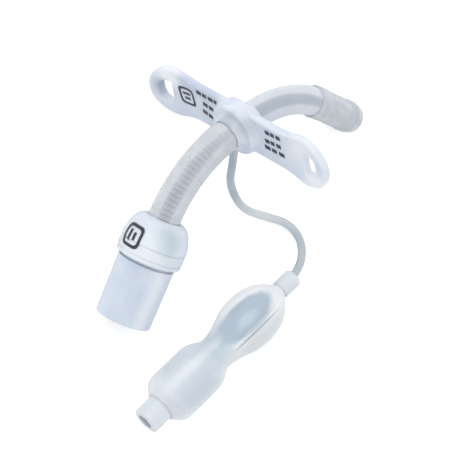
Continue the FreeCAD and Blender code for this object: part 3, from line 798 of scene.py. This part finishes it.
def flange():
    """The soft flange: the modelled solid with its edges softened as moulded silicone is."""
    source = frame["nodes"]["neck_flange"]
    mesh = source.data.copy()
    mesh.name = "flange_body"
    piece = bpy.data.objects.new("flange_body", mesh)
    bpy.context.scene.collection.objects.link(piece)
    remesh = piece.modifiers.new("even", "REMESH")
    remesh.mode = "VOXEL"
    remesh.voxel_size = 0.22 * MM
    smooth = piece.modifiers.new("soften", "SMOOTH")
    smooth.factor = 0.5
    smooth.iterations = 5
    done = baked(piece)
    near = piece.vertex_groups.new(name="hub")
    for vertex in done.vertices:
        away = vertex.co - HUB
        along = away.dot(INWARD)
        radius = (away - INWARD * along).length / MM
        in_length = FAIRING_ALONG[0] < along / MM < FAIRING_ALONG[1]
        if in_length and FAIRING_ROUND[0] < radius < FAIRING_ROUND[1]:
            near.add([vertex.index], 1.0, "REPLACE")
    blur = piece.modifiers.new("fair", "SMOOTH")
    blur.vertex_group = "hub"
    blur.factor = 0.5
    blur.iterations = 60
    done = baked(piece)
    piece.vertex_groups.clear()
    done.polygons.foreach_set("use_smooth", [True] * len(done.polygons))
    return dress(piece, FLANGE_LOOK, "flange_silicone", "neck_flange")


CONE_AT = 12.4
RIM_AT = 28.9


def connector():
    """The rigid connector with its 15 mm cone, neck, disc and socket."""
    path = [
        (SOCKET_START, 5.6),
        (SOCKET_END, 5.6),
        (SOCKET_END, 7.9),
        (11.0, 7.9),
        (11.0, 6.9),
        (CONE_AT, 6.9),
        (CONE_AT, 7.7),
        (RIM_AT, 7.5),
        (RIM_AT, 6.2),
        (RIM_AT - 13.0, 6.2),
        (RIM_AT - 19.5, BORE_R),
        (SOCKET_END, BORE_R),
        (SOCKET_END, 4.02),
        (SOCKET_START, 4.02),
    ]
    piece = lathe("connector_body", boot_place, path, sides=96, soften=0.25)
    return dress(piece, CONNECTOR_LOOK, "connector_plastic", "connector_15mm")


BOOT_PATH = [
    (0.0, 4.92),
    (0.35, 5.9),
    (0.95, 6.85),
    (2.3, 7.75),
    (4.7, 8.6),
    (6.2, 8.9),
    (7.1, 8.95),
    (7.4, 8.5),
    (7.75, 8.93),
    (10.05, 8.93),
    (10.4, 8.48),
    (10.75, 8.9),
    (11.3, 8.75),
    (11.6, 8.3),
]


def boot():
    """The domed boot with its two grooves."""
    inside = [(11.6, 7.92), (7.38, 7.92), (7.38, 5.62), (2.78, 5.62), (2.78, 4.44), (0.0, 4.44)]
    piece = lathe("boot_body", boot_place, BOOT_PATH + inside, sides=96, step=0.4, soften=0.35)
    return dress(piece, BOOT_LOOK, "boot_silicone", "connector_boot")


def boot_radius(distance):
    """The boot's outside radius at a distance from its small end."""
    for (a, ra), (b, rb) in zip(BOOT_PATH[:-1], BOOT_PATH[1:]):
        if a <= distance <= b:
            return ra + (rb - ra) * (distance - a) / (b - a)
    return BOOT_PATH[-1][1]


def inflation_line():
    """The limp line, one smooth curve through the air and over the table."""
    data = bpy.data.curves.new("inflation_hose", "CURVE")
    data.dimensions = "3D"
    spline = data.splines.new("NURBS")
    spline.points.add(len(LINE_POINTS) - 1)
    for point, place in zip(spline.points, LINE_POINTS):
        point.co = (*(Vector(place) * MM), 1)
    spline.order_u = 3
    spline.use_endpoint_u = True
    data.resolution_u = 24
    data.bevel_depth = LINE_R * MM
    data.bevel_resolution = 10
    data.use_fill_caps = True
    piece = bpy.data.objects.new("inflation_hose", data)
    bpy.context.scene.collection.objects.link(piece)
    dress(piece, LINE_LOOK, "line_silicone", "inflation_line")
    return piece


def collar():
    """The sleeve over the line's end and the balloon's front neck."""
    path = [(1.0, 1.12), (1.0, 2.1), (1.7, 2.6), (6.6, 2.55), (6.6, 1.97), (2.98, 1.97), (2.98, 1.12)]

    def place(distance, turn, radius):
        return pilot_place(distance, turn, radius, LINE_END_Z)

    piece = lathe("collar_sleeve", place, path, sides=48, step=0.5, soften=0.25)
    return dress(piece, COLLAR_LOOK, "line_silicone", "line_collar")


# Pilot balloon and holder: distance, half width, half height, height of the middle, dimple depth
BALLOON_STATIONS = (
    (3.0, 1.95, 1.95, 4.6, 0.0),
    (6.2, 2.0, 1.98, 4.6, 0.0),
    (7.4, 2.6, 2.4, 4.62, 0.0),
    (9.5, 4.7, 3.4, 4.9, 0.1),
    (13.0, 6.7, 4.8, 5.4, 1.2),
    (18.0, 7.6, 5.8, 5.95, 2.4),
    (23.0, 7.2, 5.9, 6.1, 2.2),
    (28.0, 5.6, 5.3, 6.7, 0.6),
    (31.5, 4.9, 4.9, 7.2, 0.0),
    (33.4, 5.0, 5.0, 7.23, 0.0),
    (35.4, 6.2, 6.2, 7.23, 0.0),
    (37.8, 7.1, 7.1, 7.23, 0.0),
    (41.0, 7.2, 7.2, 7.23, 0.0),
    (50.0, 7.1, 7.1, 7.23, 0.0),
    (51.4, 6.4, 6.4, 7.23, 0.0),
    (52.4, 5.3, 5.3, 7.23, 0.0),
    (53.1, 4.6, 4.6, 7.23, 0.0),
)


def between(stations, distance):
    """Smooth values between stations, by a cubic through their slopes."""
    last = len(stations) - 1
    index = 0
    while index < last - 1 and stations[index + 1][0] < distance:
        index += 1
    before = stations[max(index - 1, 0)]
    a, b = stations[index], stations[index + 1]
    after = stations[min(index + 2, last)]
    width = b[0] - a[0]
    t = min(max((distance - a[0]) / width, 0.0), 1.0)
    values = []
    for k in range(1, len(a)):
        slope_a = (b[k] - before[k]) / max(b[0] - before[0], 1e-6) * width
        slope_b = (after[k] - a[k]) / max(after[0] - a[0], 1e-6) * width
        steps = (2 * t**3 - 3 * t**2 + 1) * a[k] + (t**3 - 2 * t**2 + t) * slope_a
        values.append(steps + (3 * t**2 - 2 * t**3) * b[k] + (t**3 - t**2) * slope_b)
    return values


def balloon_point(distance, turn, wall):
    """A point of the balloon's film: an oval with a dimple sucked in on top, steep on its right side."""
    half_width, half_height, height, dimple = between(BALLOON_STATIONS, distance)
    x = (half_width - wall) * math.cos(turn)
    z = (half_height - wall) * math.sin(turn)
    if z > 0 and dimple > 0:
        side = x / half_width
        left = 1 / (1 + math.exp(-(side + 0.66) / 0.07))
        right = 1 / (1 + math.exp((side - 0.29) / 0.035))
        crease = math.exp(-(((x - 3.05) / 0.4) ** 2)) * min(1.0, dimple)
        z -= (dimple * left * right + 0.4 * crease) * min(1.0, z / 1.5)
    z += 0.05 * noise.noise(Vector((x * 0.35, distance * 0.22, turn * 1.5)))
    return Vector((PILOT_X + x, PILOT_Y - distance, height + z)) * MM


def balloon():
    """Balloon, front neck and valve holder in one thin skin, open at both ends."""
    sides, wall = 176, 0.45
    start, end = BALLOON_STATIONS[0][0], BALLOON_STATIONS[-1][0]
    rows = 110
    rings = []
    for row in range(rows + 1):
        distance = start + (end - start) * row / rows
        rings.append([balloon_point(distance, 2 * math.pi * i / sides, 0.0) for i in range(sides)])
    inner_path = [(end, 3.82), (51.92, 3.82), (51.92, 5.02), (38.48, 5.02), (38.48, 3.9), (33.0, 3.9)]
    for distance, radius in inner_path:
        rings.append([pilot_place(distance, 2 * math.pi * i / sides, radius) for i in range(sides)])
    for row in range(rows + 1):
        distance = 32.0 + (7.6 - 32.0) * row / rows
        rings.append([balloon_point(distance, 2 * math.pi * i / sides, wall) for i in range(sides)])
    for distance in (7.4, start):
        rings.append(
            [pilot_place(distance, 2 * math.pi * i / sides, 1.12, LINE_END_Z) for i in range(sides)]
        )
    piece = skin("balloon_skin", rings, sharp=60)
    return dress(piece, BALLOON_LOOK, "balloon_film", "pilot_balloon")


def valve():
    """The valve's rigid pieces keep their modelled shapes and get their finish here."""
    looks = {
        "valve_housing": VALVE_LOOK,
        "valve_retainer": VALVE_LOOK,
        "valve_stem": STEM_LOOK,
        "valve_seal": RUBBER_LOOK,
    }
    for name, look in looks.items():
        node = frame["nodes"][name]
        for place in node.material_slots:
            place.material = look


SPRING_WIRE_R = 0.17
SPRING_R = 1.4
SPRING_TURNS = 5


def spring():
    """The closing spring, whose turns close up between the retainer and the stem's head."""
    low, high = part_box("valve_spring")
    first, last = high.y / MM - SPRING_WIRE_R, low.y / MM + SPRING_WIRE_R
    steps, corners = SPRING_TURNS * 32, 12
    rings = []
    for index in range(steps + 1):
        turn = 2 * math.pi * SPRING_TURNS * index / steps
        along = first + (last - first) * index / steps
        ring = []
        for corner in range(corners):
            angle = 2 * math.pi * corner / corners
            across = SPRING_R + SPRING_WIRE_R * math.cos(angle)
            x = PILOT_X + across * math.cos(turn)
            z = VALVE_Z + across * math.sin(turn)
            ring.append(Vector((x, along + SPRING_WIRE_R * math.sin(angle), z)) * MM)
        rings.append(ring)
    piece = skin("closing_spring", rings, closed=False, sharp=80)
    piece.data.materials.clear()
    piece.data.materials.append(STEEL_LOOK)
    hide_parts("valve_spring")
    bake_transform(piece)
    return piece


FACE_Y = -1.2
BEND_START = 17.9
BEND_R = 35.8
PRINT_LIFT = 0.02
PRINT_THICK = 0.05


def flange_face(x, z, lift):
    """A point over the flange's front face; the left wing bends forward."""
    if x < -BEND_START:
        turn = (-x - BEND_START) / BEND_R
        reach = BEND_R - lift
        return in_row((-BEND_START - reach * math.sin(turn), FACE_Y - BEND_R + reach * math.cos(turn), z))
    return in_row((x, FACE_Y - lift, z))


def patch(name, surface, corners, divisions=6):
    """A thin printed patch on a surface, between four corners given in the surface's own measures."""
    a, b, c, d = [Vector(p) for p in corners]
    points = []
    for lift in (PRINT_LIFT, PRINT_LIFT + PRINT_THICK):
        for row in range(divisions + 1):
            for col in range(divisions + 1):
                left = a.lerp(d, row / divisions)
                right = b.lerp(c, row / divisions)
                at = left.lerp(right, col / divisions)
                points.append(surface(at.x, at.y, lift))
    width = divisions + 1
    layer = width * width
    faces = []
    for row in range(divisions):
        for col in range(divisions):
            i = row * width + col
            quad = (i, i + 1, i + width + 1, i + width)
            faces.append(quad)
            faces.append(tuple(layer + k for k in reversed(quad)))
    border = list(range(divisions))
    border += [divisions + width * i for i in range(divisions)]
    border += [layer - 1 - i for i in range(divisions)]
    border += [width * (divisions - i) for i in range(divisions)]
    for i, j in zip(border, border[1:] + border[:1]):
        faces.append((i, layer + i, layer + j, j))
    return finish_mesh(name, points, faces, 40)


def bar(name, surface, start, end, half):
    """A printed bar between two points of a surface."""
    start, end = Vector(start), Vector(end)
    side = Vector((-(end - start).y, (end - start).x)).normalized() * half
    piece = patch(name, surface, (start - side, end - side, end + side, start + side))
    return dress(piece, INK_LOOK, "flange_silicone")


def frame_mark(name, surface, centre, across, half, width, slot):
    """A printed outline of a square with round corners, with two bars in it."""
    centre, across = Vector(centre), Vector(across).normalized()
    along = Vector((-across.y, across.x))
    sides = 48

    def loop(size):
        spots = []
        for i in range(sides):
            turn = 2 * math.pi * i / sides
            c, d = math.cos(turn), math.sin(turn)
            reach = size / (abs(c) ** 5 + abs(d) ** 5) ** 0.2
            spots.append(centre + across * c * reach + along * d * reach)
        return spots

    low, high = PRINT_LIFT, PRINT_LIFT + PRINT_THICK
    inner = half - width
    rings = []
    for size, lift in ((half, low), (half, high), (half - width / 2, high), (inner, high), (inner, low)):
        rings.append([surface(p.x, p.y, lift) for p in loop(size)])
    dress(skin(name, rings, sharp=40), INK_LOOK, slot)
    for index, (offset, reach) in enumerate(((0.28, 0.5), (-0.25, 0.36))):
        middle = centre + along * half * offset
        corners = []
        for a, b in ((-1, -1), (1, -1), (1, 1), (-1, 1)):
            corners.append(middle + across * a * half * reach + along * b * width / 2)
        dress(patch(f"{name}_bar_{index}", surface, corners), INK_LOOK, slot)


BOOT_MARK = (6.0, 0.0)
BOOT_MARK_TURN = math.radians(92)
BAR_HALF = 0.66


def marks():
    """Plain bars and frames where the object carries print."""
    rows = {
        "left": (((-15.1, 4.8), (-5.9, 4.6)), ((-13.2, 1.7), (-8.6, 1.2)), ((-13.9, -1.1), (-9.5, -2.0))),
        "right": (((11.3, 4.0), (17.4, 4.4)), ((10.7, 0.9), (17.2, 1.5)), ((10.1, -1.4), (18.1, -1.1))),
    }
    for side, bars in rows.items():
        for index, (start, end) in enumerate(bars):
            start, end = Vector(start), Vector(end)
            words = round((end - start).length / 2.4)
            for word in range(words):
                first = start.lerp(end, (word + 0.06) / words)
                last = start.lerp(end, (word + 0.86 - 0.1 * (word % 2)) / words)
                bar(f"print_{side}_{index}_{word}", flange_face, first, last, BAR_HALF)
    frame_mark("mark_wing", flange_face, (-19.4, 1.1), (1, 0.1), 2.9, 0.75, "flange_silicone")
    frame_mark("mark_boot", boot_label, BOOT_MARK, (1, 0), 3.1, 0.8, "boot_silicone")


def boot_label(distance, around, lift):
    """A point over the boot, its place round the boot given in millimetres; the grooves are bridged."""
    radius = max(boot_radius(distance + d) for d in (-0.5, -0.25, 0.0, 0.25, 0.5))
    return boot_place(distance, BOOT_MARK_TURN + around / 8.9, radius + lift)


def line_cord(piece):
    """The line's centre points and length, and the pilot assembly's pieces at its far end, gathered; nothing
    is done with them.
    """
    points = [v.co for v in bpy.data.meshes.new_from_object(centre_only(piece)).vertices]
    length = sum((b - a).length for a, b in zip(points, points[1:]))
    pilot = [bpy.data.objects[n] for n in ("collar_sleeve", "balloon_skin", "closing_spring")]
    pilot += [frame["nodes"][n] for n in ("valve_housing", "valve_retainer", "valve_stem", "valve_seal")]


def centre_only(piece):
    """The line's curve without its thickness."""
    plain = piece.data.copy()
    plain.bevel_depth = 0
    return bpy.data.objects.new("line_centre", plain)


FLOOR_SIZE = 1.6
FLOOR_GLOW = 0.42
HORIZON = (0.86, 0.90, 0.97)
ZENITH = (1.08, 1.08, 1.08)


def floor():
    """A plain pale floor that stays white to the camera and keeps a soft shadow."""
    mesh = bpy.data.meshes.new("floor")
    corners = [(a * FLOOR_SIZE, b * FLOOR_SIZE, 0) for a, b in ((-1, -1), (1, -1), (1, 1), (-1, 1))]
    mesh.from_pydata(corners, [], [(0, 1, 2, 3)])
    piece = bpy.data.objects.new("floor", mesh)
    bpy.context.scene.collection.objects.link(piece)
    made = Shader("floor_white")
    tree = made.tree
    made.tone(made.span(made.grain(3.0), 0.0, 1.0), (0.80, 0.80, 0.80), (0.82, 0.82, 0.82))
    made.set(Roughness=0.9)
    rays = tree.nodes.new("ShaderNodeLightPath")
    seen = made.node("ShaderNodeMath")
    seen.operation = "MAXIMUM"
    tree.links.new(rays.outputs["Is Camera Ray"], seen.inputs[0])
    tree.links.new(rays.outputs["Is Glossy Ray"], seen.inputs[1])
    more = made.node("ShaderNodeMath")
    more.operation = "MAXIMUM"
    tree.links.new(seen.outputs[0], more.inputs[0])
    tree.links.new(rays.outputs["Is Transmission Ray"], more.inputs[1])
    glow = tree.nodes.new("ShaderNodeEmission")
    glow.inputs["Color"].default_value = (1, 1, 1, 1)
    level = made.node("ShaderNodeMath")
    level.operation = "MULTIPLY"
    tree.links.new(more.outputs[0], level.inputs[0])
    level.inputs[1].default_value = FLOOR_GLOW
    tree.links.new(level.outputs[0], glow.inputs["Strength"])
    both = tree.nodes.new("ShaderNodeAddShader")
    tree.links.new(made.base.outputs["BSDF"], both.inputs[0])
    tree.links.new(glow.outputs["Emission"], both.inputs[1])
    tree.links.new(both.outputs["Shader"], made.out.inputs["Surface"])
    mesh.materials.append(made.material)


def lamp(name, place, size, power):
    """A round lamp aimed at the object."""
    light = bpy.data.lights.new(name, "AREA")
    light.shape = "DISK"
    light.size = size
    light.energy = power
    holder = bpy.data.objects.new(name, light)
    holder.location = place
    holder.rotation_mode = "QUATERNION"
    holder.rotation_quaternion = (-Vector(place)).to_track_quat("-Z", "Y")
    bpy.context.scene.collection.objects.link(holder)


def studio():
    """Soft light: white overhead, greyer and bluer at the horizon, and a broad key lamp."""
    world = bpy.data.worlds.new("studio")
    bpy.context.scene.world = world
    world.use_nodes = True
    tree = world.node_tree
    tree.nodes.clear()
    out = tree.nodes.new("ShaderNodeOutputWorld")
    place = tree.nodes.new("ShaderNodeTexCoord")
    split = tree.nodes.new("ShaderNodeSeparateXYZ")
    tree.links.new(place.outputs["Generated"], split.inputs["Vector"])
    ramp = tree.nodes.new("ShaderNodeValToRGB")
    ramp.color_ramp.interpolation = "EASE"
    ramp.color_ramp.elements[0].position = 0.0
    ramp.color_ramp.elements[0].color = (*HORIZON, 1)
    ramp.color_ramp.elements[1].position = 0.75
    ramp.color_ramp.elements[1].color = (*ZENITH, 1)
    tree.links.new(split.outputs["Z"], ramp.inputs["Fac"])
    sky = tree.nodes.new("ShaderNodeBackground")
    tree.links.new(ramp.outputs["Color"], sky.inputs["Color"])
    sky.inputs["Strength"].default_value = 1.0
    seen = tree.nodes.new("ShaderNodeBackground")
    seen.inputs["Color"].default_value = (1, 1, 1, 1)
    seen.inputs["Strength"].default_value = 1.0
    rays = tree.nodes.new("ShaderNodeLightPath")
    mix = tree.nodes.new("ShaderNodeMixShader")
    tree.links.new(rays.outputs["Is Camera Ray"], mix.inputs["Fac"])
    tree.links.new(sky.outputs["Background"], mix.inputs[1])
    tree.links.new(seen.outputs["Background"], mix.inputs[2])
    tree.links.new(mix.outputs["Shader"], out.inputs["Surface"])
    lamp("key", (-0.55, 0.1, 0.75), 0.5, 1.2)


def camera():
    """The camera where the photograph was taken from."""
    data = bpy.data.cameras.new("camera")
    data.lens = CAMERA_LENS
    data.sensor_width = 36
    data.clip_start = 0.01
    data.clip_end = 20
    holder = bpy.data.objects.new("camera", data)
    bpy.context.scene.collection.objects.link(holder)
    forward = CAMERA_FORWARD.normalized()
    right = forward.cross(CAMERA_UP).normalized()
    up = right.cross(forward)
    turn = Matrix((right, up, -forward)).transposed().to_4x4()
    holder.matrix_world = Matrix.Translation(CAMERA_PLACE) @ turn
    bpy.context.scene.camera = holder


def main():
    bpy.context.scene.view_settings.view_transform = "Standard"
    camera()
    studio()
    floor()
    shaft()
    winding()
    cuff()
    flange()
    connector()
    boot()
    hose = inflation_line()
    collar()
    balloon()
    valve()
    spring()
    marks()
    line_cord(hose)


main()
